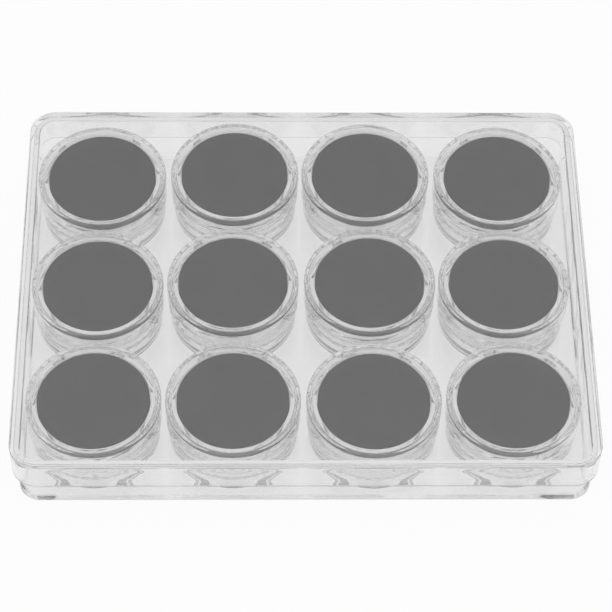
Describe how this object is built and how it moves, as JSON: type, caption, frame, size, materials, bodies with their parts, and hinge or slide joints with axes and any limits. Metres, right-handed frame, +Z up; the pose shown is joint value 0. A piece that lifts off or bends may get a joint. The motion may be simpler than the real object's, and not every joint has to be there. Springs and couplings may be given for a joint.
{
  "type": "jar display box",
  "caption": "Shallow clear plastic display box with a lift-off lid, holding round screw-cap jars that each show a grey foam insert under a flat window.",
  "frame": {"origin": "on the table, under the middle of the box", "axes": "+Z up, +X along the rows of jars to the right, -Y towards the viewer"},
  "size_m": [0.1654, 0.1266, 0.0208],
  "materials": {
    "clear_styrene": "gloss",
    "grey_foam": "matte"
  },
  "bodies": {
    "tray": {"box_tray": "clear_styrene"},
    "lid": {"box_lid": "clear_styrene"},
    "jar_01": {"jar_cup_01": "clear_styrene", "foam_insert_01": "grey_foam"},
    "cap_01": {"jar_cap_01": "clear_styrene"},
    "jar_02": {"jar_cup_02": "clear_styrene", "foam_insert_02": "grey_foam"},
    "cap_02": {"jar_cap_02": "clear_styrene"},
    "jar_03": {"jar_cup_03": "clear_styrene", "foam_insert_03": "grey_foam"},
    "cap_03": {"jar_cap_03": "clear_styrene"},
    "jar_04": {"jar_cup_04": "clear_styrene", "foam_insert_04": "grey_foam"},
    "cap_04": {"jar_cap_04": "clear_styrene"},
    "jar_05": {"jar_cup_05": "clear_styrene", "foam_insert_05": "grey_foam"},
    "cap_05": {"jar_cap_05": "clear_styrene"},
    "jar_06": {"jar_cup_06": "clear_styrene", "foam_insert_06": "grey_foam"},
    "cap_06": {"jar_cap_06": "clear_styrene"},
    "jar_07": {"jar_cup_07": "clear_styrene", "foam_insert_07": "grey_foam"},
    "cap_07": {"jar_cap_07": "clear_styrene"},
    "jar_08": {"jar_cup_08": "clear_styrene", "foam_insert_08": "grey_foam"},
    "cap_08": {"jar_cap_08": "clear_styrene"},
    "jar_09": {"jar_cup_09": "clear_styrene", "foam_insert_09": "grey_foam"},
    "cap_09": {"jar_cap_09": "clear_styrene"},
    "jar_10": {"jar_cup_10": "clear_styrene", "foam_insert_10": "grey_foam"},
    "cap_10": {"jar_cap_10": "clear_styrene"},
    "jar_11": {"jar_cup_11": "clear_styrene", "foam_insert_11": "grey_foam"},
    "cap_11": {"jar_cap_11": "clear_styrene"},
    "jar_12": {"jar_cup_12": "clear_styrene", "foam_insert_12": "grey_foam"},
    "cap_12": {"jar_cap_12": "clear_styrene"}
  },
  "joints": [
    {"name": "lid_lift", "type": "slide", "parent": "tray", "child": "lid", "axis": [0, 0, 1], "range_m": [0, 0.05]},
    {"name": "jar_spin_01", "type": "hinge", "parent": "tray", "child": "jar_01", "pos_m": [-0.06037, 0.0396, 0.0015], "axis": [0, 0, 1], "continuous": true},
    {"name": "cap_turn_01", "type": "hinge", "parent": "jar_01", "child": "cap_01", "pos_m": [-0.06037, 0.0396, 0.0092], "axis": [0, 0, 1], "range_deg": [0, 120]},
    {"name": "jar_spin_02", "type": "hinge", "parent": "tray", "child": "jar_02", "pos_m": [-0.02063, 0.0411, 0.0015], "axis": [0, 0, 1], "continuous": true},
    {"name": "cap_turn_02", "type": "hinge", "parent": "jar_02", "child": "cap_02", "pos_m": [-0.02063, 0.0411, 0.0092], "axis": [0, 0, 1], "range_deg": [0, 120]},
    {"name": "jar_spin_03", "type": "hinge", "parent": "tray", "child": "jar_03", "pos_m": [0.01872, 0.0409, 0.0015], "axis": [0, 0, 1], "continuous": true},
    {"name": "cap_turn_03", "type": "hinge", "parent": "jar_03", "child": "cap_03", "pos_m": [0.01872, 0.0409, 0.0092], "axis": [0, 0, 1], "range_deg": [0, 120]},
    {"name": "jar_spin_04", "type": "hinge", "parent": "tray", "child": "jar_04", "pos_m": [0.05858, 0.0397, 0.0015], "axis": [0, 0, 1], "continuous": true},
    {"name": "cap_turn_04", "type": "hinge", "parent": "jar_04", "child": "cap_04", "pos_m": [0.05858, 0.0397, 0.0092], "axis": [0, 0, 1], "range_deg": [0, 120]},
    {"name": "jar_spin_05", "type": "hinge", "parent": "tray", "child": "jar_05", "pos_m": [-0.06028, -0.0002, 0.0015], "axis": [0, 0, 1], "continuous": true},
    {"name": "cap_turn_05", "type": "hinge", "parent": "jar_05", "child": "cap_05", "pos_m": [-0.06028, -0.0002, 0.0092], "axis": [0, 0, 1], "range_deg": [0, 120]},
    {"name": "jar_spin_06", "type": "hinge", "parent": "tray", "child": "jar_06", "pos_m": [-0.02082, 0.001, 0.0015], "axis": [0, 0, 1], "continuous": true},
    {"name": "cap_turn_06", "type": "hinge", "parent": "jar_06", "child": "cap_06", "pos_m": [-0.02082, 0.001, 0.0092], "axis": [0, 0, 1], "range_deg": [0, 120]},
    {"name": "jar_spin_07", "type": "hinge", "parent": "tray", "child": "jar_07", "pos_m": [0.01912, 0.001, 0.0015], "axis": [0, 0, 1], "continuous": true},
    {"name": "cap_turn_07", "type": "hinge", "parent": "jar_07", "child": "cap_07", "pos_m": [0.01912, 0.001, 0.0092], "axis": [0, 0, 1], "range_deg": [0, 120]},
    {"name": "jar_spin_08", "type": "hinge", "parent": "tray", "child": "jar_08", "pos_m": [0.05838, 0.0004, 0.0015], "axis": [0, 0, 1], "continuous": true},
    {"name": "cap_turn_08", "type": "hinge", "parent": "jar_08", "child": "cap_08", "pos_m": [0.05838, 0.0004, 0.0092], "axis": [0, 0, 1], "range_deg": [0, 120]},
    {"name": "jar_spin_09", "type": "hinge", "parent": "tray", "child": "jar_09", "pos_m": [-0.05998, -0.04, 0.0015], "axis": [0, 0, 1], "continuous": true},
    {"name": "cap_turn_09", "type": "hinge", "parent": "jar_09", "child": "cap_09", "pos_m": [-0.05998, -0.04, 0.0092], "axis": [0, 0, 1], "range_deg": [0, 120]},
    {"name": "jar_spin_10", "type": "hinge", "parent": "tray", "child": "jar_10", "pos_m": [-0.02053, -0.04, 0.0015], "axis": [0, 0, 1], "continuous": true},
    {"name": "cap_turn_10", "type": "hinge", "parent": "jar_10", "child": "cap_10", "pos_m": [-0.02053, -0.04, 0.0092], "axis": [0, 0, 1], "range_deg": [0, 120]},
    {"name": "jar_spin_11", "type": "hinge", "parent": "tray", "child": "jar_11", "pos_m": [0.01932, -0.0402, 0.0015], "axis": [0, 0, 1], "continuous": true},
    {"name": "cap_turn_11", "type": "hinge", "parent": "jar_11", "child": "cap_11", "pos_m": [0.01932, -0.0402, 0.0092], "axis": [0, 0, 1], "range_deg": [0, 120]},
    {"name": "jar_spin_12", "type": "hinge", "parent": "tray", "child": "jar_12", "pos_m": [0.05897, -0.0399, 0.0015], "axis": [0, 0, 1], "continuous": true},
    {"name": "cap_turn_12", "type": "hinge", "parent": "jar_12", "child": "cap_12", "pos_m": [0.05897, -0.0399, 0.0092], "axis": [0, 0, 1], "range_deg": [0, 120]}
  ]
}
